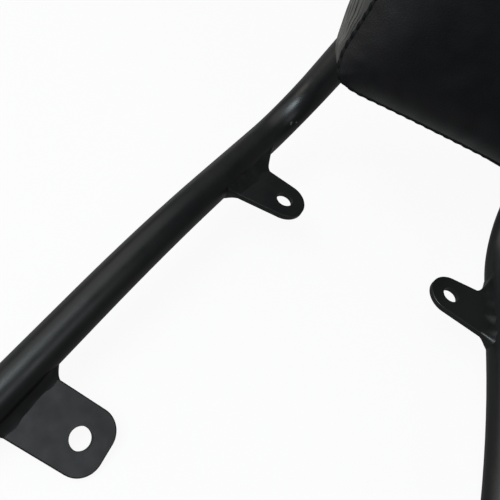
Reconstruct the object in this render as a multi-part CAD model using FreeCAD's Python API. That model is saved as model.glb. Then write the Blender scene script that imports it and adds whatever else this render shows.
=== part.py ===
import FreeCAD, Part
import math
import os
from FreeCAD import Placement, Rotation, Vector

# Backrest hoop for a motorbike with a bolted-on cushion.
# X is across the bike, +Y to the rear, +Z up. The origin is midway between the two rear bolt holes,
# on the underside of their tabs. Lengths are in millimetres and angles in degrees.

# Tube of the hoop
tube_diameter = 22.0
tube_wall = 2.0
bend_half_spacing = 88.0  # centre plane to tube axis, where leg and upright would meet in a corner
leg_splay = 11.0  # each leg runs outwards towards the front
rear_run = 159.0  # corner of the main bend to corner of the bow
front_run = 150.0  # corner of the bow to the open front end
bow_drop = 12.5  # the front run points down by this much
bow_radius = 500.0
main_bend_radius = 46.0
upright_lean = 11.5  # the uprights close in towards the top
upright_rake = 7.5  # and lie back
top_radius = 50.0

# Plug in each open end of the tube
plug_head_height = 3.5
plug_edge_round = 2.0
plug_shank_length = 14.0
plug_shank_clearance = 0.2

# Tabs, all cut from one plate
plate_thickness = 4.0
plate_edge_round = 0.7
rear_tab_station = 79.0  # ahead of the main bend's corner, along the leg
rear_tab_root_width = 37.0  # on the tube's axis, where the sides would reach it
rear_tab_end_radius = 14.0  # about the hole
rear_hole_spacing = 125.0  # left hole to right hole
rear_hole_diameter = 11.0
front_tab_station = 274.0
front_tab_width = 38.0
front_tab_corner = 13.5
front_tab_slope_angle = 19.0  # downwards, towards the centre plane
front_hole_spacing = 191.0
front_hole_to_end = 16.5  # hole centre to the tab's end
front_hole_diameter = 13.0

# Fillet weld round a tab's root: how far it runs out on the plate, climbs the tube on each side of
# the plate, and runs past the tab's sides along the tube, ahead of it and behind it
rear_weld_leg = 10.0
rear_weld_height = 5.5
rear_weld_ahead = 8.0
rear_weld_behind = 30.0
front_weld_leg = 6.5
front_weld_height = 5.0
front_weld_ahead = 6.0
front_weld_behind = 12.0
weld_toe = 0.3  # thickness left at the outer edge
weld_root_depth = 0.5  # how far the weld's form starts inside the tube, before the tube is cut out

# Straps across the uprights, measured up the backrest from the main bend's corner
strap_width = 25.0
strap_thickness = 4.0
strap_overhang = 3.0  # past the tube's axis
strap_edge_round = 0.7
lower_strap_height = 100.0
upper_strap_drop = 41.5  # below the hoop's top, from the tube's axis there
strap_bead_leg = 6.0
strap_notch_clearance = 1.0  # where the cover's folded edge is cut away for a strap

# Cushion, seen along the backrest's own frame
cushion_bottom = 64.0
cushion_top = 254.0
cushion_back_width = 167.0
cushion_bulge_width = 173.0
cushion_seam_width = 153.0
seam_margin = 4.5  # the sewn edge lies this far inside the back's top and bottom
cushion_corner = 26.0
seam_corner = 20.0
band_depth = 37.0  # back of the board to the sewn edge
bulge_depth = 15.0
crown_height = 8.0
crown_shoulder_height = 5.0
crown_shoulder = 14.0  # inset from the sewn edge
crown_plateau = 36.0
cover_thickness = 1.5
cover_turn_in = 10.0  # width of the edge folded over the board's back
board_thickness = 8.0

# Screws that hold the cushion to the straps
bolt_diameter = 6.0
bolt_head_across_flats = 10.0
bolt_head_height = 4.0
bolt_hole_clearance = 0.5
bolt_tip_recess = 0.5  # the bolt's end stays this far inside the tee nut
thread_clearance = 0.1
washer_diameter = 14.0
washer_thickness = 1.6
washer_to_bead = 1.5  # gap left beside the weld beads of the upper strap
tee_nut_barrel = 8.0
tee_nut_barrel_clearance = 0.2
tee_nut_flange = 19.0
tee_nut_flange_thickness = 1.5

tube_radius = tube_diameter / 2
axis_height = plate_thickness / 2
origin = Vector(0, 0, 0)
x_axis = Vector(1, 0, 0)
z_axis = Vector(0, 0, 1)
same_place = 0.001  # closer than this is the same point


def polar(azimuth, climb):
    """Unit vector of the left leg: azimuth from straight ahead, outwards, and climb above level."""
    across = -math.sin(math.radians(azimuth)) * math.cos(math.radians(climb))
    along = -math.cos(math.radians(azimuth)) * math.cos(math.radians(climb))
    return Vector(across, along, math.sin(math.radians(climb)))


rear_direction = polar(leg_splay, 0)
front_direction = polar(leg_splay, -bow_drop)
bend_setback = rear_tab_station * math.cos(math.radians(leg_splay))
bend_centre = Vector(0, bend_setback, axis_height)
bend_corner = bend_centre + Vector(-bend_half_spacing, 0, 0)
bow_corner = bend_corner + rear_direction * rear_run
front_end = bow_corner + front_direction * front_run

# The backrest's own frame: x across, y to the rear, z up the backrest, from between the main bends
backrest = Placement(bend_centre, Rotation(x_axis, -upright_rake))
apex_height = bend_half_spacing / math.tan(math.radians(upright_lean))
apex = backrest.multVec(Vector(0, 0, apex_height))
hoop_top_height = apex_height - top_radius / math.sin(math.radians(upright_lean)) + top_radius
upper_strap_height = hoop_top_height - upper_strap_drop


def mirrored(shape):
    return shape.mirror(origin, x_axis)


def mirror_point(point):
    return Vector(-point.x, point.y, point.z)


def rounded_path(points, radii):
    """Straight runs between the points, joined by a tangent arc at each inner point."""
    edges = []
    start = points[0]
    for before, corner, after, radius in zip(points, points[1:], points[2:], radii):
        back = (before - corner).normalize()
        ahead = (after - corner).normalize()
        half_turn = (math.pi - back.getAngle(ahead)) / 2
        arc_start = corner + back * radius * math.tan(half_turn)
        arc_end = corner + ahead * radius * math.tan(half_turn)
        inwards = (back + ahead).normalize()
        middle = corner + inwards * (radius / math.cos(half_turn) - radius)
        edges.append(Part.LineSegment(start, arc_start).toShape())
        edges.append(Part.Arc(arc_start, middle, arc_end).toShape())
        start = arc_end
    edges.append(Part.LineSegment(start, points[-1]).toShape())
    return Part.Wire(edges)


def hoop_path():
    left = [front_end, bow_corner, bend_corner]
    right = [mirror_point(point) for point in reversed(left)]
    radii = [bow_radius, main_bend_radius, top_radius, main_bend_radius, bow_radius]
    return rounded_path(left + [apex] + right, radii)


def disc(radius, centre, normal):
    return Part.Face(Part.Wire(Part.makeCircle(radius, centre, normal)))


def rod_along(path, radius):
    """The solid that a tube of this radius fills."""
    return path.makePipe(disc(radius, front_end, front_direction))


def tube_along(path):
    ring = disc(tube_radius, front_end, front_direction)
    bore = disc(tube_radius - tube_wall, front_end, front_direction)
    return path.makePipe(ring.cut(bore).Faces[0])


def end_plug():
    """Plug for the left leg's open end: its round-edged head covers the tube's rim."""
    head = Part.makeCylinder(tube_radius, plug_head_height, front_end, front_direction)
    crown = front_end + front_direction * plug_head_height
    outer_rim = [edge for edge in head.Edges if edge.CenterOfMass.distanceToPoint(crown) < same_place]
    head = head.makeFillet(plug_edge_round, outer_rim)
    shank_radius = tube_radius - tube_wall - plug_shank_clearance
    shank = Part.makeCylinder(shank_radius, plug_shank_length, front_end, front_direction * -1)
    return head.fuse(shank).removeSplitter()


class Seat:
    """Where a tab meets the left leg: a point on the tube's axis, and the plate's directions there."""

    def __init__(self, station, slope_angle):
        on_rear_run = station <= rear_run
        self.along = rear_direction if on_rear_run else front_direction
        run_start = bend_corner if on_rear_run else bow_corner
        offset = station if on_rear_run else station - rear_run
        self.point = run_start + self.along * offset
        level_normal = self.along.cross(x_axis).normalize()
        tilt = math.radians(slope_angle)
        self.inwards = x_axis * math.cos(tilt) - level_normal * math.sin(tilt)
        self.normal = self.along.cross(self.inwards).normalize()
        self.square = self.normal.cross(self.along)  # in the plate, square to the tube

    def placement(self):
        across = self.normal.cross(self.inwards)
        return Placement(self.point, Rotation(self.inwards, across, self.normal, "ZXY"))

    def at(self, square_distance):
        """The point on the tab's centre line that lies this far from the tube's axis."""
        return self.point + self.inwards * (square_distance / self.inwards.dot(self.square))

    def hole_reach(self, hole_spacing):
        """Distance along the tab to a hole that is half the spacing from the centre plane."""
        return (-hole_spacing / 2 - self.point.x) / self.inwards.x


rear_seat = Seat(rear_tab_station, 0)
front_seat = Seat(front_tab_station, front_tab_slope_angle)


def outline_face(lower_half):
    """The face between a line of edges below the centre line and its mirror image above."""
    upper_half = [edge.mirror(origin, Vector(0, 1, 0)) for edge in lower_half]
    root = Part.LineSegment(upper_half[0].valueAt(upper_half[0].FirstParameter),
                            lower_half[0].valueAt(lower_half[0].FirstParameter)).toShape()
    return Part.Face(Part.Wire(Part.__sortEdges__(lower_half + upper_half + [root])))


def squared_blank(reach, width, corner):
    """Outline of a tab with parallel sides and two round corners."""
    side = width / 2
    swing = corner * (1 - math.sqrt(0.5))
    turn_start = Vector(reach - corner, -side, 0)
    turn_end = Vector(reach, corner - side, 0)
    straight = Part.LineSegment(Vector(0, -side, 0), turn_start)
    turn = Part.Arc(turn_start, Vector(reach - swing, swing - side, 0), turn_end)
    end = Part.LineSegment(turn_end, Vector(reach, 0, 0))
    return outline_face([curve.toShape() for curve in (straight, turn, end)])


def lug_turn(hole_reach, root_width, end_radius):
    """Angle between a tapered tab's centre line and its side."""
    side = root_width / 2
    return math.atan2(side, hole_reach) - math.asin(end_radius / math.hypot(hole_reach, side))


def lug_blank(hole_reach, root_width, end_radius):
    """Outline of a tapered tab whose sides run into a round end about the hole."""
    taper = lug_turn(hole_reach, root_width, end_radius)
    touch = Vector(hole_reach + end_radius * math.sin(taper), -end_radius * math.cos(taper), 0)
    halfway = (math.pi / 2 - taper) / 2
    middle = Vector(hole_reach + end_radius * math.cos(halfway), -end_radius * math.sin(halfway), 0)
    straight = Part.LineSegment(Vector(0, -root_width / 2, 0), touch)
    nose = Part.Arc(touch, middle, Vector(hole_reach + end_radius, 0, 0))
    return outline_face([curve.toShape() for curve in (straight, nose)])


def tab(seat, blank, hole_reach, hole_diameter, rod):
    """A plate with a bolt hole and softened edges, its root shaped to the tube."""
    low = -plate_thickness / 2
    plate = blank.translated(z_axis * low).extrude(z_axis * plate_thickness)
    rims = [edge for edge in plate.Edges if abs(abs(edge.CenterOfMass.z) + low) < same_place]
    plate = plate.makeFillet(plate_edge_round, [edge for edge in rims if edge.CenterOfMass.x > same_place])
    hole_centre = Vector(hole_reach, 0, low)
    plate = plate.cut(Part.makeCylinder(hole_diameter / 2, plate_thickness, hole_centre))
    plate.Placement = seat.placement()
    return plate.cut(rod)


def frame_section(seat, distance, ahead, behind, half_height):
    """A rectangle square to the plate, its long side along the tube."""
    front = seat.at(distance) + seat.along * ahead
    back = seat.at(distance) - seat.along * behind
    height = seat.normal * half_height
    corners = [front + height, back + height, back - height, front - height]
    return Part.makePolygon(corners + corners[:1])


def tab_weld(seat, plate, root_width, taper, leg, height, ahead, behind, rod):
    """Fillet weld all round a tab's root: hollow-faced, and flared where it ends on the tube."""
    skew = seat.inwards.dot(seat.square)
    low_half = plate_thickness / 2 + weld_toe
    start = math.sqrt(tube_radius ** 2 - (low_half + height) ** 2) - weld_root_depth
    steps = 6
    sections = []
    for step in range(steps + 1):
        run = step / steps
        rise = (1 - run) ** 2
        distance = start + (tube_radius + leg - start) * run
        half_width = (root_width / 2 - math.tan(taper) * distance / skew) / skew
        side = half_width + weld_toe
        ends = (side + ahead * rise, side + behind * rise)
        sections.append(frame_section(seat, distance, *ends, low_half + height * rise))
    collar = Part.makeLoft(sections, True, True)
    return collar.cut(rod).cut(plate)


def upright_offset(height):
    """Distance of the upright's axis from the centre plane, this far up the backrest."""
    return bend_half_spacing - height * math.tan(math.radians(upright_lean))


# The screws stand as far apart as the upper strap's free length lets them
bead_reach = tube_radius + strap_bead_leg / 3
bolt_half_spacing = upright_offset(upper_strap_height) - bead_reach - washer_to_bead - washer_diameter / 2


def on_backrest(shape):
    placed = shape.copy()
    placed.Placement = backrest.multiply(placed.Placement)
    return placed


strap_back = -tube_radius
strap_front = strap_back - strap_thickness
board_front = strap_front - board_thickness
seam_plane = strap_front - band_depth


def bolt_places(height):
    return [Vector(-bolt_half_spacing, 0, height), Vector(bolt_half_spacing, 0, height)]


all_bolt_places = bolt_places(lower_strap_height) + bolt_places(upper_strap_height)


def drilled(shape, places, diameter, start, depth):
    """Holes towards the front, from the plane y = start."""
    for place in places:
        hole_start = Vector(place.x, start, place.z)
        shape = shape.cut(Part.makeCylinder(diameter / 2, depth, hole_start, Vector(0, -1, 0)))
    return shape


def strap_bar(height, margin):
    """A strap's block, larger by a margin at its ends and edges."""
    half_length = upright_offset(height) + strap_overhang + margin
    width = strap_width + 2 * margin
    corner = Vector(-half_length, strap_front, height - width / 2)
    return Part.makeBox(2 * half_length, strap_thickness, width, corner)


def cross_strap(height):
    bar = strap_bar(height, 0)
    bar = bar.makeFillet(strap_edge_round, bar.Edges)
    hole = bolt_diameter + bolt_hole_clearance
    return on_backrest(drilled(bar, bolt_places(height), hole, strap_back, strap_thickness))


def strap_bead(height, rod):
    """Weld in the corner between the back of a strap and the inner flank of the left upright."""
    length = strap_width - 4 * strap_edge_round
    axis_x = -upright_offset(height)
    profile = [
        Vector(axis_x, strap_back, 0),
        Vector(axis_x + bead_reach, strap_back, 0),
        Vector(axis_x + tube_radius, strap_back + strap_bead_leg, 0),
        Vector(axis_x, strap_back + strap_bead_leg, 0),
    ]
    prism = Part.Face(Part.makePolygon(profile + profile[:1])).extrude(z_axis * length)
    shear = FreeCAD.Matrix()
    shear.A13 = math.tan(math.radians(upright_lean))
    prism = prism.translated(Vector(0, 0, -length / 2)).transformGeometry(shear)
    bead = on_backrest(prism.translated(Vector(0, 0, height))).cut(rod)
    return max(bead.Solids, key=lambda solid: solid.CenterOfMass.x)


def rounded_outline(depth, width, bottom, top, corner):
    """Closed outline with four round corners, in the plane y = depth."""
    side = width / 2
    swing = corner * (1 - math.sqrt(0.5))
    edges = []
    corners = [(side, bottom, -1, 1), (side, top, -1, -1), (-side, top, 1, -1), (-side, bottom, 1, 1)]
    arcs = []
    for x, z, to_x, to_z in corners:
        before = Vector(x + to_x * corner, depth, z)
        after = Vector(x, depth, z + to_z * corner)
        middle = Vector(x + to_x * swing, depth, z + to_z * swing)
        ends = (before, after) if to_x * to_z < 0 else (after, before)
        arcs.append((ends[0], middle, ends[1]))
    for arc, following in zip(arcs, arcs[1:] + arcs[:1]):
        edges.append(Part.Arc(*arc).toShape())
        edges.append(Part.LineSegment(arc[2], following[0]).toShape())
    return Part.Wire(edges)


def back_outline(depth, width, inset):
    corner = cushion_corner - inset
    return rounded_outline(depth, width - 2 * inset, cushion_bottom + inset, cushion_top - inset, corner)


def seam_outline(depth, inset):
    bottom = cushion_bottom + seam_margin + inset
    top = cushion_top - seam_margin - inset
    corner = max(seam_corner - inset / 2, seam_corner / 2)
    return rounded_outline(depth, cushion_seam_width - 2 * inset, bottom, top, corner)


def band_block(inset):
    """The cushion from the board's back to the sewn edge, with bulging sides."""
    swell = strap_front - bulge_depth
    outlines = [
        back_outline(strap_front, cushion_back_width, inset),
        back_outline(swell, cushion_bulge_width, inset),
        seam_outline(seam_plane, inset),
    ]
    return Part.makeLoft(outlines, True, False)


def crown_block(inset):
    """The pillowed front, ahead of the sewn edge."""
    outlines = [
        seam_outline(seam_plane, inset),
        seam_outline(seam_plane - crown_shoulder_height + inset, crown_shoulder + inset),
        seam_outline(seam_plane - crown_height + inset, crown_plateau + inset),
    ]
    return Part.makeLoft(outlines, True, False)


def slab(from_depth, to_depth):
    reach = cushion_top + cushion_bulge_width
    return Part.makeBox(2 * reach, from_depth - to_depth, 2 * reach, Vector(-reach, to_depth, -reach))


def cover_band():
    """Side band of the cover, with its edge folded over the board's back."""
    skin = band_block(0).cut(band_block(cover_thickness))
    outer = Part.Face(back_outline(strap_front, cushion_back_width, 0))
    inner = Part.Face(back_outline(strap_front, cushion_back_width, cover_turn_in))
    turn_in = outer.cut(inner).extrude(Vector(0, cover_thickness, 0))
    for height in (lower_strap_height, upper_strap_height):
        turn_in = turn_in.cut(strap_bar(height, strap_notch_clearance))
    return skin.fuse(turn_in).removeSplitter()


def tee_nut(place):
    barrel_start = Vector(place.x, strap_front, place.z)
    forwards = Vector(0, -1, 0)
    barrel = Part.makeCylinder(tee_nut_barrel / 2, board_thickness, barrel_start, forwards)
    flange_start = Vector(place.x, board_front, place.z)
    flange = Part.makeCylinder(tee_nut_flange / 2, tee_nut_flange_thickness, flange_start, forwards)
    bore_depth = board_thickness + tee_nut_flange_thickness
    bore = Part.makeCylinder((bolt_diameter + thread_clearance) / 2, bore_depth, barrel_start, forwards)
    return barrel.fuse(flange).removeSplitter().cut(bore)


def washer(place):
    start = Vector(place.x, strap_back, place.z)
    ring = Part.makeCylinder(washer_diameter / 2, washer_thickness, start, Vector(0, 1, 0))
    hole_radius = (bolt_diameter + bolt_hole_clearance) / 2
    return ring.cut(Part.makeCylinder(hole_radius, washer_thickness, start, Vector(0, 1, 0)))


def bolt(place):
    """Hexagon screw from behind, through washer and strap into the tee nut."""
    seat_depth = strap_back + washer_thickness
    corner_radius = bolt_head_across_flats / math.sqrt(3)
    corners = []
    for step in range(6):
        angle = math.radians(60 * step)
        corners.append(Vector(place.x + corner_radius * math.cos(angle), seat_depth,
                              place.z + corner_radius * math.sin(angle)))
    head = Part.Face(Part.makePolygon(corners + corners[:1])).extrude(Vector(0, bolt_head_height, 0))
    tip = board_front - tee_nut_flange_thickness + bolt_tip_recess
    shank_start = Vector(place.x, seat_depth, place.z)
    shank = Part.makeCylinder(bolt_diameter / 2, seat_depth - tip, shank_start, Vector(0, -1, 0))
    return head.fuse(shank).removeSplitter()


def group(shapes):
    return Part.makeCompound(shapes)


def build():
    path = hoop_path()
    rod = rod_along(path, tube_radius)
    nodes = {"hoop_tube": tube_along(path)}

    plug = end_plug()
    rear_reach = rear_seat.hole_reach(rear_hole_spacing)
    rear_blank = lug_blank(rear_reach, rear_tab_root_width, rear_tab_end_radius)
    rear_taper = lug_turn(rear_reach, rear_tab_root_width, rear_tab_end_radius)
    rear_tab = tab(rear_seat, rear_blank, rear_reach, rear_hole_diameter, rod)
    front_reach = front_seat.hole_reach(front_hole_spacing)
    front_blank = squared_blank(front_reach + front_hole_to_end, front_tab_width, front_tab_corner)
    front_tab = tab(front_seat, front_blank, front_reach, front_hole_diameter, rod)
    handed = {
        "tube_plug": plug,
        "rear_tab": rear_tab,
        "front_tab": front_tab,
        "rear_weld": tab_weld(rear_seat, rear_tab, rear_tab_root_width, rear_taper,
                              rear_weld_leg, rear_weld_height, rear_weld_ahead, rear_weld_behind, rod),
        "front_weld": tab_weld(front_seat, front_tab, front_tab_width, 0,
                               front_weld_leg, front_weld_height, front_weld_ahead, front_weld_behind, rod),
    }
    for name, shape in handed.items():
        nodes[name + "_left"] = shape
        nodes[name + "_right"] = mirrored(shape)

    nodes["lower_cross_strap"] = cross_strap(lower_strap_height)
    nodes["upper_cross_strap"] = cross_strap(upper_strap_height)
    beads = [strap_bead(height, rod) for height in (lower_strap_height, upper_strap_height)]
    nodes["strap_welds"] = group(beads + [mirrored(bead) for bead in beads])

    lining = band_block(cover_thickness)
    barrel_hole = tee_nut_barrel + tee_nut_barrel_clearance
    board = lining.common(slab(strap_front, board_front))
    board = drilled(board, all_bolt_places, barrel_hole, strap_front, board_thickness)
    foam = lining.common(slab(board_front, seam_plane)).fuse(crown_block(cover_thickness)).removeSplitter()
    foam = drilled(foam, all_bolt_places, tee_nut_flange, board_front, tee_nut_flange_thickness)
    front_panel = crown_block(0).cut(crown_block(cover_thickness))
    nodes["cushion_base_board"] = on_backrest(board)
    nodes["cushion_foam"] = on_backrest(foam)
    nodes["cushion_side_band"] = on_backrest(cover_band())
    nodes["cushion_front_panel"] = on_backrest(front_panel)
    nodes["cushion_tee_nuts"] = on_backrest(group([tee_nut(place) for place in all_bolt_places]))
    nodes["cushion_washers"] = on_backrest(group([washer(place) for place in all_bolt_places]))
    nodes["cushion_bolts"] = on_backrest(group([bolt(place) for place in all_bolt_places]))
    return nodes


os.makedirs("parts", exist_ok=True)
for node, shape in build().items():
    shape.exportStep(f"parts/{node}.step")
    print(node, len(shape.Solids), shape.isValid(), round(shape.Volume))
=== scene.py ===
import math
import bmesh
import bpy
from mathutils import Euler, Matrix, Vector, noise


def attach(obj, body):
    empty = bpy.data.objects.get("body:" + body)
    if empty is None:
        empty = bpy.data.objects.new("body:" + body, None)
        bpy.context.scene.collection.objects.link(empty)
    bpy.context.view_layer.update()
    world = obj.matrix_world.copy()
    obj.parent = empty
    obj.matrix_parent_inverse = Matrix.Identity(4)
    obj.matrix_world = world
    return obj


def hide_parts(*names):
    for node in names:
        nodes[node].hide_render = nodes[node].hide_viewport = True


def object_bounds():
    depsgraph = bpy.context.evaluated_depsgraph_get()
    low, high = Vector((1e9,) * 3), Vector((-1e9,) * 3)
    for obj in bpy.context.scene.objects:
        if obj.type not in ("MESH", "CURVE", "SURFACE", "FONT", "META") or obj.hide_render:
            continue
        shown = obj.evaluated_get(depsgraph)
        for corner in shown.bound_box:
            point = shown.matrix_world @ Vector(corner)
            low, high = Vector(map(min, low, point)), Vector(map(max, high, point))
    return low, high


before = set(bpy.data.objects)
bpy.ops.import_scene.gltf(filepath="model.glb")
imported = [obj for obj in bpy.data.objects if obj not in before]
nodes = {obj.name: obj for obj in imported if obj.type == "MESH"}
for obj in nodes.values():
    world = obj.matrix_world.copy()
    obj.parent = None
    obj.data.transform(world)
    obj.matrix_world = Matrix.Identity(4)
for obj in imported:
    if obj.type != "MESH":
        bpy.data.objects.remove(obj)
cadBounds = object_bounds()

scene = bpy.context.scene
mm = 0.001  # sizes are in millimetres: x across, y to the rear, z up
rearwards = Vector((0, 1, 0))

# Each leg runs forwards from its bend, level as far as the bow and dropping after it
leg = {
    "bendHalfWidth": 88.0,
    "height": 2.0,
    "splay": 11.0,
    "drop": 12.5,
    "rearTab": 79.0,  # these three are lengths along the leg from its bend
    "bow": 159.0,
    "frontTab": 274.0,
    "frontTabSlope": 19.0,
}
splay = math.radians(leg["splay"])
bend = Vector((-leg["bendHalfWidth"], leg["rearTab"] * math.cos(splay), leg["height"]))

# The cushion is shaped in the backrest's own frame, which stands between the bends and leans back
backrest = {"rake": 7.5, "seamSlant": 0.063}  # the seam's bottom run is sewn a little out of level
rake = math.radians(backrest["rake"])
backrestOrigin = Vector((0, bend.y, bend.z))
toBackrest = Matrix.Translation(backrestOrigin * mm) @ Matrix.Rotation(-rake, 4, "X")
uprightOrigin = Matrix.Rotation(rake, 3, "X") @ backrestOrigin  # as a material turned upright sees it


def toLinear(hexColour):
    channels = [int(hexColour[i:i + 2], 16) / 255 for i in (1, 3, 5)]
    return tuple(c / 12.92 if c <= 0.04045 else ((c + 0.055) / 1.055) ** 2.4 for c in channels) + (1.0,)


def setInputs(tree, node, inputs):
    for socket, value in inputs.items():
        if isinstance(value, bpy.types.NodeSocket):
            tree.links.new(value, node.inputs[socket])
        else:
            node.inputs[socket].default_value = value


def addNode(tree, kind, inputs=None, **settings):
    node = tree.nodes.new(kind)
    for name, value in settings.items():
        setattr(node, name, value)
    setInputs(tree, node, inputs or {})
    return node.outputs


def newMaterial(name):
    material = bpy.data.materials.new(name)
    material.use_nodes = True
    tree = material.node_tree
    place = addNode(tree, "ShaderNodeTexCoord")["Object"]
    return material, tree, tree.nodes["Principled BSDF"], place


noiseSpread = {"From Min": 0.3, "From Max": 0.7}  # most of a noise's values lie in between
falling = {"To Min": 1, "To Max": 0}


def clouds(tree, place, size, low=0.0, high=1.0):
    # wanders between low and high in patches of about size millimetres
    patches = addNode(tree, "ShaderNodeTexNoise", {"Vector": place, "Scale": 1 / (size * mm), "Detail": 2})[0]
    spread = {"Value": patches, **noiseSpread, "To Min": low, "To Max": high}
    return addNode(tree, "ShaderNodeMapRange", spread)[0]


# A colour mix takes its share at input 0 and its colours at 6 and 7, and gives its result at output 2
def twoTones(tree, place, look):
    tones = {0: clouds(tree, place, look["cloud"]), 6: toLinear(look["dark"]), 7: toLinear(look["light"])}
    return addNode(tree, "ShaderNodeMix", tones, data_type="RGBA")[2]


powder = {
    "dark": "#121314", "light": "#191918", "cloud": 45.0,
    "roughness": (0.33, 0.40), "roughCloud": 9.0,
    "peel": 3.0, "peelDepth": 0.008,
}
chips = {  # paint knocked off inside the left bend
    "places": [(-83.9, 56.1, 15.5), (-83.6, 55.3, 14.8), (-81.0, 59.2, 15.2)],
    "bareRadius": 0.45, "radius": 0.9, "colour": "#60605e",
}


def powderCoat():
    # satin black with faint orange peel, a little greyer where dust has settled
    material, tree, shader, place = newMaterial("powder coat, satin black, sprayed on steel")
    colour = twoTones(tree, place, powder)
    rim = {"From Min": chips["bareRadius"] * mm, "From Max": chips["radius"] * mm}
    for chip in chips["places"]:
        ends = {0: place, 1: Vector(chip) * mm}
        away = addNode(tree, "ShaderNodeVectorMath", ends, operation="DISTANCE")["Value"]
        bare = addNode(tree, "ShaderNodeMapRange", {"Value": away, **rim, **falling})[0]
        tones = {0: bare, 6: colour, 7: toLinear(chips["colour"])}
        colour = addNode(tree, "ShaderNodeMix", tones, data_type="RGBA")[2]
    pattern = {"Vector": place, "Scale": 1 / (powder["peel"] * mm), "Detail": 0}
    peel = addNode(tree, "ShaderNodeTexNoise", pattern)[0]
    relief = {"Height": peel, "Distance": powder["peelDepth"] * mm}
    setInputs(tree, shader, {
        "Base Color": colour, "IOR": 1.5,
        "Roughness": clouds(tree, place, powder["roughCloud"], *powder["roughness"]),
        "Normal": addNode(tree, "ShaderNodeBump", relief)[0],
    })
    return material


smoothVinyl = {
    "dark": "#07070a", "light": "#0d0d11", "cloud": 30.0,
    "roughness": (0.40, 0.52), "roughCloud": 14.0,
    "grain": 1.1, "grainDepth": 0.06,
}
paintedRimReflection = {  # painted reflection: a lighter strip above the seam's bottom run that fades upwards and towards the left corner, standing in for the floor's reflection in the curved lower rim
    "bottom": 74.5, "top": 88.9, "fade": 2.8,
    "leftEnd": -66.0, "leftFull": -42.0, "colour": "#5a5a58",
}


def smoothLeatherette():
    # bluish black vinyl with a fine pressed grain and a satin sheen, and a painted reflection of the floor
    # along its lower rim
    material, tree, shader, place = newMaterial("leatherette, smooth black, calendered vinyl")
    upright = addNode(tree, "ShaderNodeMapping", {"Vector": place, "Rotation": (rake, 0, 0)})[0]
    parts = addNode(tree, "ShaderNodeSeparateXYZ", {0: upright})
    alongSeam = {0: parts["X"], 1: -backrest["seamSlant"], 2: parts["Z"]}
    height = addNode(tree, "ShaderNodeMath", alongSeam, operation="MULTIPLY_ADD")[0]
    # painted reflection: a lighter strip along the lower rim where the floor would be mirrored
    bottom, top = ((uprightOrigin.z + paintedRimReflection[name]) * mm for name in ("bottom", "top"))
    strip = {"Value": height, "From Min": bottom, "From Max": top, **falling}
    low = addNode(tree, "ShaderNodeMapRange", strip)[0]
    faded = addNode(tree, "ShaderNodeMath", {0: low, 1: paintedRimReflection["fade"]}, operation="POWER")[0]
    ends = {"From Min": paintedRimReflection["leftEnd"] * mm, "From Max": paintedRimReflection["leftFull"] * mm}
    inner = addNode(tree, "ShaderNodeMapRange", {"Value": parts["X"], **ends})[0]
    pale = addNode(tree, "ShaderNodeMath", {0: faded, 1: inner}, operation="MULTIPLY")[0]
    tones = {0: pale, 6: twoTones(tree, place, smoothVinyl), 7: toLinear(paintedRimReflection["colour"])}
    cells = {"Vector": place, "Scale": 1 / (smoothVinyl["grain"] * mm)}
    grain = addNode(tree, "ShaderNodeTexVoronoi", cells)["Distance"]
    relief = {"Height": grain, "Distance": smoothVinyl["grainDepth"] * mm}
    setInputs(tree, shader, {
        "Base Color": addNode(tree, "ShaderNodeMix", tones, data_type="RGBA")[2],
        "IOR": 1.5, "Specular IOR Level": 0.36, "Sheen Weight": 0.02,
        "Roughness": clouds(tree, place, smoothVinyl["roughCloud"], *smoothVinyl["roughness"]),
        "Normal": addNode(tree, "ShaderNodeBump", relief)[0],
    })
    return material


# the ground tones, dark and light, are partly the vinyl's own warm grey and partly painted sheen at grazing
# light
ribbedVinyl = {
    "dark": "#5c5b57", "light": "#7c7b76", "roughness": (0.62, 0.50),
    "streak": 2.6, "streakStretch": (0.06, 1.0, 0.06), "streakDepth": 0.12,
    # the groove colour is painted shade in the rib valleys
    "ribPitch": 2.5133, "ribDepth": 0.25, "grooveShade": "#1c1c1a",
    "shadePatch": 11.0, "shadePatchStretch": (0.5, 1.0, 0.5),  # the painted shade in the grooves shows only in places
    "seamShade": "#3b3937", "seamShadeFront": -51.62, "seamShadeBack": -40.62,  # painted shade along the seam, fading out towards the back
}
waveTurns = 20 / (2 * math.pi)  # bands that a wave texture draws in a metre at a scale of 1


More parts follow.
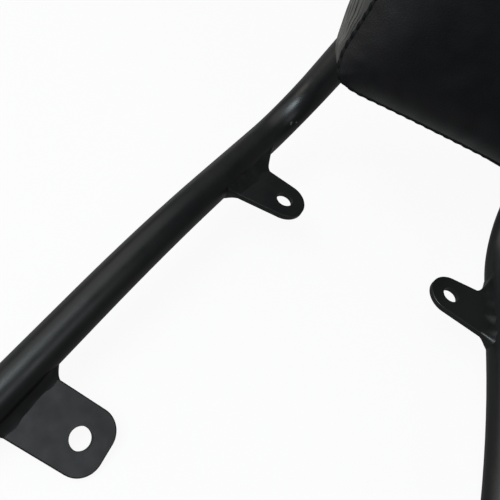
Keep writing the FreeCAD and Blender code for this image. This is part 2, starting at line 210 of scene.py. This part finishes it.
def ribbedLeatherette():
    # warm grey vinyl, its ribs and rubbed streaks running round the cushion's edge; its lighter ground is
    # partly its own tone and partly painted sheen at grazing light, with painted shade in the rib grooves and
    # next to the seam
    material, tree, shader, place = newMaterial("leatherette, ribbed grey, embossed vinyl")
    look = ribbedVinyl
    upright = addNode(tree, "ShaderNodeMapping", {"Vector": place, "Rotation": (rake, 0, 0)})[0]
    long = addNode(tree, "ShaderNodeMapping", {"Vector": upright, "Scale": look["streakStretch"]})[0]
    pattern = {"Vector": long, "Scale": 1 / (look["streak"] * mm), "Detail": 3}
    streaks = addNode(tree, "ShaderNodeTexNoise", pattern)[0]
    share = addNode(tree, "ShaderNodeMapRange", {"Value": streaks, **noiseSpread})[0]
    # partly painted sheen: the lighter ground stands in for the vinyl's sheen at grazing light
    tones = {0: share, 6: toLinear(look["dark"]), 7: toLinear(look["light"])}
    ground = addNode(tree, "ShaderNodeMix", tones, data_type="RGBA")[2]

    # painted shade: the band darkens towards the seam
    depth = addNode(tree, "ShaderNodeSeparateXYZ", {0: upright})["Y"]
    front, back = ((uprightOrigin.y + look[name]) * mm for name in ("seamShadeFront", "seamShadeBack"))
    reach = {"Value": depth, "From Min": front, "From Max": back, **falling}
    tones = {0: addNode(tree, "ShaderNodeMapRange", reach)[0], 6: ground, 7: toLinear(look["seamShade"])}
    ground = addNode(tree, "ShaderNodeMix", tones, data_type="RGBA")[2]

    # painted shade in the rib grooves, shown only in patches
    scale = 1 / (waveTurns * look["ribPitch"] * mm)
    pattern = {"Vector": upright, "Scale": scale, "Distortion": 1.2, "Detail": 2}
    ribs = addNode(tree, "ShaderNodeTexWave", pattern, bands_direction="Y", wave_profile="SIN")["Fac"]
    valley = {"Value": ribs, "From Min": 0.05, "From Max": 0.4, **falling}
    grooveShade = addNode(tree, "ShaderNodeMapRange", valley)[0]
    wide = addNode(tree, "ShaderNodeMapping", {"Vector": upright, "Scale": look["shadePatchStretch"]})[0]
    pattern = {"Vector": wide, "Scale": 1 / (look["shadePatch"] * mm), "Detail": 2}
    shadePatches = addNode(tree, "ShaderNodeTexNoise", pattern)[0]
    broken = addNode(tree, "ShaderNodeMapRange", {"Value": shadePatches, "From Min": 0.42, "From Max": 0.58})[0]
    dark = addNode(tree, "ShaderNodeMath", {0: grooveShade, 1: broken}, operation="MULTIPLY")[0]
    tones = {0: dark, 6: ground, 7: toLinear(look["grooveShade"])}

    rough, smooth = look["roughness"]
    shine = {"Value": streaks, **noiseSpread, "To Min": rough, "To Max": smooth}
    ribbed = addNode(tree, "ShaderNodeBump", {"Height": ribs, "Distance": look["ribDepth"] * mm})[0]
    relief = {"Height": streaks, "Distance": look["streakDepth"] * mm, "Normal": ribbed}
    setInputs(tree, shader, {
        "Base Color": addNode(tree, "ShaderNodeMix", tones, data_type="RGBA")[2],
        "IOR": 1.5, "Specular IOR Level": 0.3,
        "Roughness": addNode(tree, "ShaderNodeMapRange", shine)[0],
        "Normal": addNode(tree, "ShaderNodeBump", relief)[0],
    })
    return material


thread = {"dark": "#040405", "light": "#0c0c0e", "twist": 0.377, "twistDepth": 0.08}


def sewingThread():
    # black bonded thread, nearly without shine
    material, tree, shader, place = newMaterial("thread, black bonded nylon, twisted")
    pattern = {"Vector": place, "Scale": 1 / (waveTurns * thread["twist"] * mm)}
    twist = addNode(tree, "ShaderNodeTexWave", pattern, bands_direction="DIAGONAL")["Fac"]
    tones = {0: twist, 6: toLinear(thread["dark"]), 7: toLinear(thread["light"])}
    relief = {"Height": twist, "Distance": thread["twistDepth"] * mm}
    setInputs(tree, shader, {
        "Base Color": addNode(tree, "ShaderNodeMix", tones, data_type="RGBA")[2],
        "Roughness": 0.8, "Specular IOR Level": 0.2,
        "Normal": addNode(tree, "ShaderNodeBump", relief)[0],
    })
    return material


cord = {"dark": "#08080a", "light": "#101012", "cloud": 12.0}


def weltCord():
    # matt black vinyl, a shade lighter than the thread that crosses it
    material, tree, shader, place = newMaterial("welt cord, black vinyl, extruded")
    colour = twoTones(tree, place, cord)
    setInputs(tree, shader, {"Base Color": colour, "Roughness": 0.7, "Specular IOR Level": 0.3})
    return material


zinc = {"dark": "#a9adb0", "light": "#c6c4b8", "cloud": 5.0, "roughness": (0.28, 0.42), "roughCloud": 2.0}


def zincPlate():
    # bright zinc on small steel fasteners, with a cloudy passivated tint
    material, tree, shader, place = newMaterial("zinc plate, passivated, barrel plated")
    setInputs(tree, shader, {
        "Base Color": twoTones(tree, place, zinc), "Metallic": 1.0,
        "Roughness": clouds(tree, place, zinc["roughCloud"], *zinc["roughness"]),
    })
    return material


moulding = {"cloud": 25.0, "roughness": (0.50, 0.62), "roughCloud": 6.0, "grain": 0.6, "grainDepth": 0.04}


def mouldedPlastic(name, dark, light):
    # matt moulded plastic with a fine spark-eroded texture
    material, tree, shader, place = newMaterial(name)
    pattern = {"Vector": place, "Scale": 1 / (moulding["grain"] * mm), "Detail": 2}
    grain = addNode(tree, "ShaderNodeTexNoise", pattern)[0]
    relief = {"Height": grain, "Distance": moulding["grainDepth"] * mm}
    setInputs(tree, shader, {
        "Base Color": twoTones(tree, place, {**moulding, "dark": dark, "light": light}), "IOR": 1.5,
        "Roughness": clouds(tree, place, moulding["roughCloud"], *moulding["roughness"]),
        "Normal": addNode(tree, "ShaderNodeBump", relief)[0],
    })
    return material


foam = {"dark": "#b9ad88", "light": "#d2c7a4", "cell": 3.0}


def openCellFoam():
    # pale polyurethane foam, cut
    material, tree, shader, place = newMaterial("foam, open-cell polyurethane, cut")
    pattern = {"Vector": place, "Scale": 1 / (foam["cell"] * mm), "Detail": 2}
    cells = addNode(tree, "ShaderNodeTexNoise", pattern)[0]
    tones = {0: cells, 6: toLinear(foam["dark"]), 7: toLinear(foam["light"])}
    colour = addNode(tree, "ShaderNodeMix", tones, data_type="RGBA")[2]
    setInputs(tree, shader, {"Base Color": colour, "Roughness": 0.9})
    return material


finishes = {
    "powder_coat_black": powderCoat(),
    "leatherette_smooth": smoothLeatherette(),
    "leatherette_ribbed": ribbedLeatherette(),
    "foam": openCellFoam(),
    "board_plastic": mouldedPlastic("ABS board, black, injection moulded", "#191919", "#222222"),
    "plug_plastic": mouldedPlastic("polyethylene plug, black, injection moulded", "#141414", "#1c1c1c"),
    "zinc_plate": zincPlate(),
}
threadFinish = sewingThread()
weltFinish = weltCord()
for node in nodes.values():
    for index, material in enumerate(node.data.materials):
        node.data.materials[index] = finishes[material.name.split(".")[0]]
print("materials:", len(finishes) + 2)


def newPiece(name, mesh, slotName, finish=None):
    mesh.name = name
    piece = bpy.data.objects.new(name, mesh)
    scene.collection.objects.link(piece)
    mesh.materials.clear()
    mesh.materials.append(finish or finishes[slotName])
    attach(piece, "root")
    return piece


def meshFrom(bm, smooth=True):
    mesh = bpy.data.meshes.new("draft")
    for face in bm.faces:
        face.smooth = smooth
    bm.to_mesh(mesh)
    bm.free()
    return mesh


def faceOutwards(bm):
    bm.normal_update()
    bmesh.ops.recalc_face_normals(bm, faces=bm.faces)
    bm.normal_update()


def mix(first, second, share):
    return first + (second - first) * share


boxSide = 2.0  # a box grid runs from -1 to 1
onSide = 0.999  # and what lies beyond this is on its side


def boxGrid(cells):
    bm = bmesh.new()
    bmesh.ops.create_cube(bm, size=boxSide)
    for axis, count in enumerate(cells):
        whole = [e for e in bm.edges if abs((e.verts[0].co - e.verts[1].co)[axis]) > boxSide * onSide]
        bmesh.ops.subdivide_edges(bm, edges=whole, cuts=count - 1, use_grid_fill=True)
    return bm


def roundedPoint(x, z, halfWidth, halfHeight, corner):
    overX = abs(x) - (halfWidth - corner)
    overZ = abs(z) - (halfHeight - corner)
    if overX <= 0 or overZ <= 0:
        return x, z
    shrink = max(overX, overZ) / math.hypot(overX, overZ)
    return (math.copysign(halfWidth - corner + overX * shrink, x),
            math.copysign(halfHeight - corner + overZ * shrink, z))


cushion = {
    "cells": (34, 10, 40),  # across, front to back, up
    "backDepth": -15.0,
    "seamDepth": -52.0,
    "backHalfWidth": 83.0,
    "seamHalfWidth": 80.0,
    "sideBulge": -2.3,
    "sideSwell": 13.0,  # more bulge halfway up
    "bottom": 64.5,
    "top": 253.5,
    "endBulge": 3.0,
    "seamMargin": 6.3,
    "backCorner": 19.0,
    "seamCorner": 25.0,
    "sidePull": 4.5,  # the sewn edge draws in between the corners
    "endPull": 2.0,
    "pullPower": 2.5,
    "crown": 7.0,
    "crownRun": 38.0,
    "crownPower": 4,
    "pressure": 4.0,
    "slack": 0.012,
    "clothFrames": 20,
    "cap": 4.0,
    "foldRows": 2,
    "foldThickness": 1.5,
    "rimShare": 0.55,  # of the fold's thickness, where it turns round the board's rim
    "subdivision": 2,
}
panelPart, bandPart, foldPart, openPart = range(4)  # parts of the cover, told apart by material index


def cushionPoint(co):
    a, b, c = co
    share = (1 - b) / 2  # 0 at the back, 1 at the sewn edge
    swell = 4 * share * (1 - share)
    bulge = cushion["sideBulge"] + cushion["sideSwell"] * (1 - c * c)
    halfWidth = mix(cushion["backHalfWidth"], cushion["seamHalfWidth"], share) + bulge * swell
    halfHeight = (cushion["top"] - cushion["bottom"]) / 2
    halfHeight += cushion["endBulge"] * swell - cushion["seamMargin"] * share
    corner = mix(cushion["backCorner"], cushion["seamCorner"], share)
    x, z = roundedPoint(a * halfWidth, c * halfHeight, halfWidth, halfHeight, corner)
    y = mix(cushion["backDepth"], cushion["seamDepth"], share)
    if b < -onSide:
        inset = min(1, min(halfWidth - abs(x), halfHeight - abs(z)) / cushion["crownRun"])
        y -= cushion["crown"] * (1 - (1 - inset) ** cushion["crownPower"])
    x *= 1 - cushion["sidePull"] / halfWidth * share ** 2 * (1 - abs(c) ** cushion["pullPower"])
    z *= 1 - cushion["endPull"] / halfHeight * share ** 2 * (1 - abs(a) ** cushion["pullPower"])
    z += backrest["seamSlant"] * x * share * (1 - c) / 2
    return Vector((x, y, z + (cushion["top"] + cushion["bottom"]) / 2)) * mm


def draftCushion():
    bm = boxGrid(cushion["cells"])
    columns, rows = cushion["cells"][::2]
    foldX, foldZ = (1 - boxSide * cushion["foldRows"] / count for count in (columns, rows))
    for face in bm.faces:
        middle = face.calc_center_median()
        if middle.y < -onSide:
            face.material_index = panelPart
        elif middle.y > onSide:
            inside = abs(middle.x) < foldX and abs(middle.z) < foldZ
            face.material_index = openPart if inside else foldPart
        else:
            face.material_index = bandPart
    bm.verts.index_update()
    held = []
    for vertex in bm.verts:
        a, b, c = vertex.co
        if b > onSide or (b < -onSide and max(abs(a), abs(c)) > onSide):
            held.append(vertex.index)
        vertex.co = cushionPoint(vertex.co)
    return meshFrom(bm), held


def swellCushion(mesh, held):
    before = [v.co.copy() for v in mesh.vertices]
    draft = bpy.data.objects.new("draft cushion", mesh)
    scene.collection.objects.link(draft)
    draft.vertex_groups.new(name="held").add(held, 1.0, "REPLACE")
    cloth = draft.modifiers.new("swell", "CLOTH")
    cloth.settings.vertex_group_mass = "held"
    cloth.settings.use_pressure = True
    cloth.settings.uniform_pressure_force = cushion["pressure"]
    cloth.settings.shrink_min = -cushion["slack"]
    cloth.settings.effector_weights.gravity = 0
    for step in range(1, cushion["clothFrames"] + 1):
        scene.frame_set(step)
    swollen = draft.evaluated_get(bpy.context.evaluated_depsgraph_get())
    after = [v.co.copy() for v in swollen.data.vertices]
    bpy.data.objects.remove(draft)
    scene.frame_set(1)
    cap = cushion["cap"] * mm
    capped = []
    for start, end in zip(before, after):
        move = end - start
        capped.append(start + move.normalized() * cap * math.tanh(move.length / cap))
    furthest = max((end - start).length for start, end in zip(before, capped))
    print("cushion swells by up to", round(furthest / mm, 2), "mm")
    return capped


def coverPart(mesh, kept):
    bm = bmesh.new()
    bm.from_mesh(mesh)
    bmesh.ops.delete(bm, geom=[f for f in bm.faces if f.material_index not in kept], context="FACES")
    return bm


def foldOver(bm):
    # the band's edge wraps the board's rim and lies on its back
    thickness = cushion["foldThickness"] * mm
    for vertex in {v for f in bm.faces if f.material_index == foldPart for v in f.verts}:
        onRim = any(f.material_index == bandPart for f in vertex.link_faces)
        vertex.co.y += thickness * (cushion["rimShare"] if onRim else 1)
    inner = [e for e in bm.edges if e.is_boundary and e.link_faces[0].material_index == foldPart]
    turnedIn = bmesh.ops.extrude_edge_only(bm, edges=inner)["geom"]
    for vertex in [g for g in turnedIn if isinstance(g, bmesh.types.BMVert)]:
        vertex.co.y -= thickness
    for face in bm.faces:
        face.material_index = 0
    bmesh.ops.recalc_face_normals(bm, faces=bm.faces)


def ringOf(bm):
    edges = [e for e in bm.edges if e.is_boundary]
    vertex = edges[0].verts[0]
    ring = [vertex]
    edge = edges[0]
    while True:
        vertex = edge.other_vert(vertex)
        if vertex == ring[0]:
            break
        ring.append(vertex)
        edge = [e for e in vertex.link_edges if e.is_boundary and e != edge][0]
    return [v.co.copy() for v in ring]


def evened(ring):
    for turn in range(2):
        neighbours = zip(ring[-1:] + ring[:-1], ring, ring[1:] + ring[:1])
        ring = [(before + 2 * here + after) / 4 for before, here, after in neighbours]
    return ring


def alongRing(ring, pitch):
    # places at an even pitch, each with the ring's direction and the way out from its middle
    middle = sum(ring, Vector()) / len(ring)
    lengths = [(b - a).length for a, b in zip(ring, ring[1:] + ring[:1])]
    count = round(sum(lengths) / pitch)
    step = sum(lengths) / count
    walked, index = 0.0, 0
    for number in range(count):
        target = number * step
        while walked + lengths[index] < target:
            walked += lengths[index]
            index += 1
        start, end = ring[index], ring[(index + 1) % len(ring)]
        place = start.lerp(end, (target - walked) / lengths[index])
        tangent = (end - start).normalized()
        outwards = tangent.cross(rearwards)
        if outwards.dot(place - middle) < 0:
            outwards.negate()
        yield place, tangent, outwards


def placed(centre, axes, sizes):
    turn = Matrix([axis * size * mm for axis, size in zip(axes, sizes)]).transposed().to_4x4()
    return Matrix.Translation(centre) @ turn


staples = {"pitch": 24.0, "length": 11.0, "wire": 1.0, "inset": 4.0, "rounding": 0.25}


def driveStaples(mesh):
    bm = coverPart(mesh, (openPart,))
    ring = ringOf(bm)
    bm.free()
    sizes = staples["length"], staples["wire"], staples["wire"]
    bm = bmesh.new()
    for place, tangent, outwards in alongRing(ring, staples["pitch"] * mm):
        centre = place + (outwards * staples["inset"] + rearwards * cushion["foldThickness"]) * mm
        bmesh.ops.create_cube(bm, size=1, matrix=placed(centre, (tangent, outwards, rearwards), sizes))
    bmesh.ops.bevel(bm, geom=bm.edges[:], offset=staples["rounding"] * mm, segments=2, profile=0.5,
                    affect="EDGES", material=-1)
    wires = newPiece("cushionStaples", meshFrom(bm), "zinc_plate")
    wires.data.transform(toBackrest)
    print("staples:", len(wires.data.polygons), "faces")


def sewCushion():
    mesh, held = draftCushion()
    for vertex, place in zip(mesh.vertices, swellCushion(mesh, held)):
        vertex.co = place

    bm = coverPart(mesh, (panelPart,))
    ring = ringOf(bm)
    panel = newPiece("cushionFrontPanel", meshFrom(bm), "leatherette_smooth")
    bm = coverPart(mesh, (bandPart, foldPart))
    foldOver(bm)
    band = newPiece("cushionSideBand", meshFrom(bm), "leatherette_ribbed")
    for piece in (panel, band):
        piece.data.transform(toBackrest)
        smoothing = piece.modifiers.new("smooth", "SUBSURF")
        smoothing.levels = smoothing.render_levels = cushion["subdivision"]
    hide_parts("cushion_front_panel", "cushion_foam")
    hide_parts("cushion_side_band")
    driveStaples(mesh)
    bpy.data.meshes.remove(mesh)
    print("cushion:", len(panel.data.polygons), "panel faces,", len(band.data.polygons), "band faces")
    return ring


welt = {"radius": 1.65, "sink": 1.2, "step": 3.0}


def layWelt(ring):
    line = bpy.data.curves.new("welt line", "CURVE")
    line.dimensions = "3D"
    line.bevel_depth = welt["radius"] * mm
    line.bevel_resolution = 3
    spline = line.splines.new("POLY")
    places = list(alongRing(ring, welt["step"] * mm))
    spline.points.add(len(places) - 1)
    for point, (place, tangent, outwards) in zip(spline.points, places):
        raised = (outwards - rearwards).normalized()
        point.co = (place - raised * welt["sink"] * mm).to_4d()
    spline.use_cyclic_u = True
    draft = bpy.data.objects.new("draft welt", line)
    scene.collection.objects.link(draft)
    mesh = bpy.data.meshes.new_from_object(draft.evaluated_get(bpy.context.evaluated_depsgraph_get()))
    bpy.data.objects.remove(draft)
    bpy.data.curves.remove(line)
    mesh.transform(toBackrest)
    newPiece("cushionWelt", mesh, "leatherette_smooth", weltFinish)
    print("welt:", len(mesh.polygons), "faces")


stitching = {"pitch": 6.4, "length": 5.4, "width": 2.4, "thickness": 1.3, "sink": 0.4, "slant": 14.0}


def sewStitches(ring):
    bm = bmesh.new()
    sizes = stitching["length"], stitching["width"], stitching["thickness"]
    lift = welt["radius"] - welt["sink"] - stitching["sink"]
    for place, tangent, outwards in alongRing(ring, stitching["pitch"] * mm):
        raised = (outwards - rearwards).normalized()
        across = tangent.cross(raised).normalized()
        slant = Matrix.Rotation(math.radians(stitching["slant"]), 3, raised)
        turn = placed(place + raised * lift * mm, (slant @ tangent, slant @ across, raised), sizes)
        bmesh.ops.create_uvsphere(bm, u_segments=10, v_segments=8, radius=0.5, matrix=turn)
    faceOutwards(bm)
    stitches = newPiece("cushionStitches", meshFrom(bm), "leatherette_smooth", threadFinish)
    stitches.data.transform(toBackrest)
    print("stitches:", len(stitches.data.polygons), "faces")


weldBead = {
    "cells": (56, 18, 12),  # along the tube, over the plate, up
    "tubeRadius": 11.0,
    "plateHalf": 2.0,
    "sink": 0.25,
    "buried": 1.0,  # its start lies this far inside the tube
    "toeCorner": 0.7,
    "lump": 8.0,
    "lumpHeight": 0.9,
}
welds = {  # width and taper are the tab's own, ahead and behind are the run-outs along the tube
    "rear": {"width": 37.0, "taper": 0.1085, "leg": 10.0, "height": 5.5, "ahead": 8.0, "behind": 30.0},
    "front": {"width": 38.0, "taper": 0.0, "leg": 8.0, "height": 5.0, "ahead": 6.0, "behind": 14.0},
}


def legDirection(climb):
    return Vector((-math.sin(splay) * math.cos(climb), -math.cos(splay) * math.cos(climb), math.sin(climb)))


def weldRoot(where):
    # where the left tab meets the tube's middle line, that line's direction, and the tab's way inwards
    level, dropping = legDirection(0), legDirection(-math.radians(leg["drop"]))
    inwards = Vector((1, 0, 0))
    if where == "rear":
        return bend + level * leg["rearTab"], level, inwards
    seat = bend + level * leg["bow"] + dropping * (leg["frontTab"] - leg["bow"])
    upwards = dropping.cross(inwards).normalized()
    slope = math.radians(leg["frontTabSlope"])
    return seat, dropping, inwards * math.cos(slope) - upwards * math.sin(slope)


def weldPoint(weld, root, co):
    seat, along, inwards = root
    normal = along.cross(inwards).normalized()
    skew = inwards.dot(normal.cross(along))
    run = (co.y + 1) / 2  # 0 inside the tube, 1 at the toe on the plate
    rise = (1 - run) ** 2
    low = weldBead["plateHalf"] - weldBead["sink"]
    start = math.sqrt(weldBead["tubeRadius"] ** 2 - (low + weld["height"]) ** 2) - weldBead["buried"]
    distance = mix(start, weldBead["tubeRadius"] + weld["leg"], run)
    flare = weld["ahead"] if co.x > 0 else weld["behind"]
    halfLength = (weld["width"] / 2 - math.tan(weld["taper"]) * distance / skew) / skew
    halfLength += flare * rise - weldBead["sink"]
    halfHeight = low + weld["height"] * rise
    corner = mix(halfHeight, weldBead["toeCorner"], run)
    x, z = roundedPoint(co.x * halfLength, co.z * halfHeight, halfLength, halfHeight, corner)
    return (seat + inwards * distance / skew + along * x + normal * z) * mm


def layWeld(where, side):
    bm = boxGrid(weldBead["cells"])
    root = weldRoot(where)
    strength = [math.sqrt((1 - v.co.y) / 2) for v in bm.verts]  # lumps fade out towards the toe
    for vertex in bm.verts:
        vertex.co = weldPoint(welds[where], root, vertex.co)
        if side == "right":
            vertex.co.x *= -1
    faceOutwards(bm)
    lump, lumpHeight = weldBead["lump"] * mm, weldBead["lumpHeight"] * mm
    moves = [v.normal * noise.noise(v.co / lump) * lumpHeight * s for v, s in zip(bm.verts, strength)]
    for vertex, move in zip(bm.verts, moves):
        vertex.co += move
    bead = newPiece(where + "Weld" + side.title(), meshFrom(bm), "powder_coat_black")
    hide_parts(where + "_weld_" + side)


seam = evened(sewCushion())
layWelt(seam)
sewStitches(seam)
for where in welds:
    for side in ("left", "right"):
        layWeld(where, side)
print("welds:", 2 * len(welds), "beads")


camera = {"place": (-74.78, -317.01, 318.65), "turn": (35.794, -19.452, 22.987), "lens": 49.468}


def placeCamera():
    data = bpy.data.cameras.new("camera")
    data.sensor_fit = "HORIZONTAL"
    data.sensor_width = 36.0
    data.lens = camera["lens"]
    data.clip_start = 0.01
    holder = bpy.data.objects.new("camera", data)
    holder.location = Vector(camera["place"]) * mm
    holder.rotation_euler = Euler([math.radians(angle) for angle in camera["turn"]])
    scene.collection.objects.link(holder)
    scene.camera = holder


# Lamps and floor are in metres and watts
aim = Vector((0.0, -0.03, 0.08))
lamps = {
    "overhead softbox": {
        "from": (-0.46, -0.46, 0.76), "distance": 1.2, "size": 0.55, "power": 10.0, "colour": "#e8f8ff"},
    "window softbox": {
        "from": (-0.62, 0.08, 0.78), "distance": 1.5, "size": 1.8, "power": 7.6, "colour": "#fffcf8"},
    "front softbox": {
        "from": (0.50, -0.35, 0.80), "distance": 1.3, "size": 0.5, "power": 1.8, "colour": "#f6faff"},
    "side softbox": {
        "from": (-0.90, -0.34, 0.10), "distance": 1.4, "size": 0.7, "power": 3.0, "colour": "#fff6ea"},
}
room = {"lit": 0.10, "seen": 1.0}


def placeLamps():
    for name, lamp in lamps.items():
        data = bpy.data.lights.new(name, "AREA")
        data.shape = "SQUARE"
        data.size = lamp["size"]
        data.energy = lamp["power"]
        data.color = toLinear(lamp["colour"])[:3]
        holder = bpy.data.objects.new(name, data)
        towards = Vector(lamp["from"]).normalized()
        turn = towards.to_track_quat("Z", "Y").to_matrix().to_4x4()
        holder.matrix_world = Matrix.Translation(aim + towards * lamp["distance"]) @ turn
        scene.collection.objects.link(holder)


def lightRoom():
    world = bpy.data.worlds.new("room")
    world.use_nodes = True
    tree = world.node_tree
    seen = addNode(tree, "ShaderNodeLightPath")["Is Camera Ray"]
    levels = {"Value": seen, "To Min": room["lit"], "To Max": room["seen"]}
    strength = addNode(tree, "ShaderNodeMapRange", levels)[0]
    setInputs(tree, tree.nodes["Background"], {"Color": (1, 1, 1, 1), "Strength": strength})
    scene.world = world


floorLook = {
    "size": 3.0,
    "gap": 0.0005,
    "paint": "#404040",
    "paintSeen": "#e6e6e6",
    "whiteSeen": 0.93,  # white as the camera sees it, with a faint shadow left in the paint
    "mirroredLeft": 0.36,  # how white it looks in the part's reflections, from left to middle
    "mirroredFar": 0.02,
    "leftSpan": (-0.25, 0.0),
    "mirroredNear": 0.17,  # and from front to back
    "nearSpan": (-0.35, -0.10),
}


def floorPaint():
    material, tree, shader, place = newMaterial("studio floor, painted")
    rays = addNode(tree, "ShaderNodeLightPath")
    parts = addNode(tree, "ShaderNodeSeparateXYZ", {0: place})
    start, end = floorLook["leftSpan"]
    fall = {"Value": parts["X"], "From Min": start, "From Max": end,
            "To Min": floorLook["mirroredLeft"], "To Max": floorLook["mirroredFar"]}
    left = addNode(tree, "ShaderNodeMapRange", fall)[0]
    start, end = floorLook["nearSpan"]
    climb = {"Value": parts["Y"], "From Min": start, "From Max": end, "To Max": floorLook["mirroredNear"]}
    near = addNode(tree, "ShaderNodeMapRange", climb)[0]
    bright = addNode(tree, "ShaderNodeMath", {0: left, 1: near}, operation="MAXIMUM")[0]
    bounced = {0: rays["Is Glossy Ray"], 1: rays["Is Transmission Ray"]}
    mirrored = addNode(tree, "ShaderNodeMath", bounced, operation="MAXIMUM")[0]
    mirroredWhite = addNode(tree, "ShaderNodeMath", {0: mirrored, 1: bright}, operation="MULTIPLY")[0]
    seen = {0: rays["Is Camera Ray"], 1: floorLook["whiteSeen"]}
    seenWhite = addNode(tree, "ShaderNodeMath", seen, operation="MULTIPLY")[0]
    share = addNode(tree, "ShaderNodeMath", {0: seenWhite, 1: mirroredWhite}, operation="MAXIMUM")[0]
    tones = {0: rays["Is Camera Ray"], 6: toLinear(floorLook["paint"]), 7: toLinear(floorLook["paintSeen"])}
    colour = addNode(tree, "ShaderNodeMix", tones, data_type="RGBA")[2]
    paint = addNode(tree, "ShaderNodeBsdfDiffuse", {"Color": colour})[0]
    white = addNode(tree, "ShaderNodeEmission", {"Color": (1, 1, 1, 1), "Strength": 1})[0]
    surface = addNode(tree, "ShaderNodeMixShader", {0: share, 1: paint, 2: white})[0]
    tree.nodes.remove(shader)
    setInputs(tree, tree.nodes["Material Output"], {"Surface": surface})
    return material


def placeFloor():
    bm = bmesh.new()
    bmesh.ops.create_grid(bm, x_segments=1, y_segments=1, size=floorLook["size"])
    mesh = meshFrom(bm, False)
    mesh.materials.append(floorPaint())
    floor = bpy.data.objects.new("floor", mesh)
    floor.data.transform(Matrix.Translation((0, 0, cadBounds[0].z - floorLook["gap"])))
    scene.collection.objects.link(floor)


placeCamera()
placeLamps()
lightRoom()
placeFloor()
scene.view_settings.view_transform = "Standard"
print("camera, lamps and floor placed")
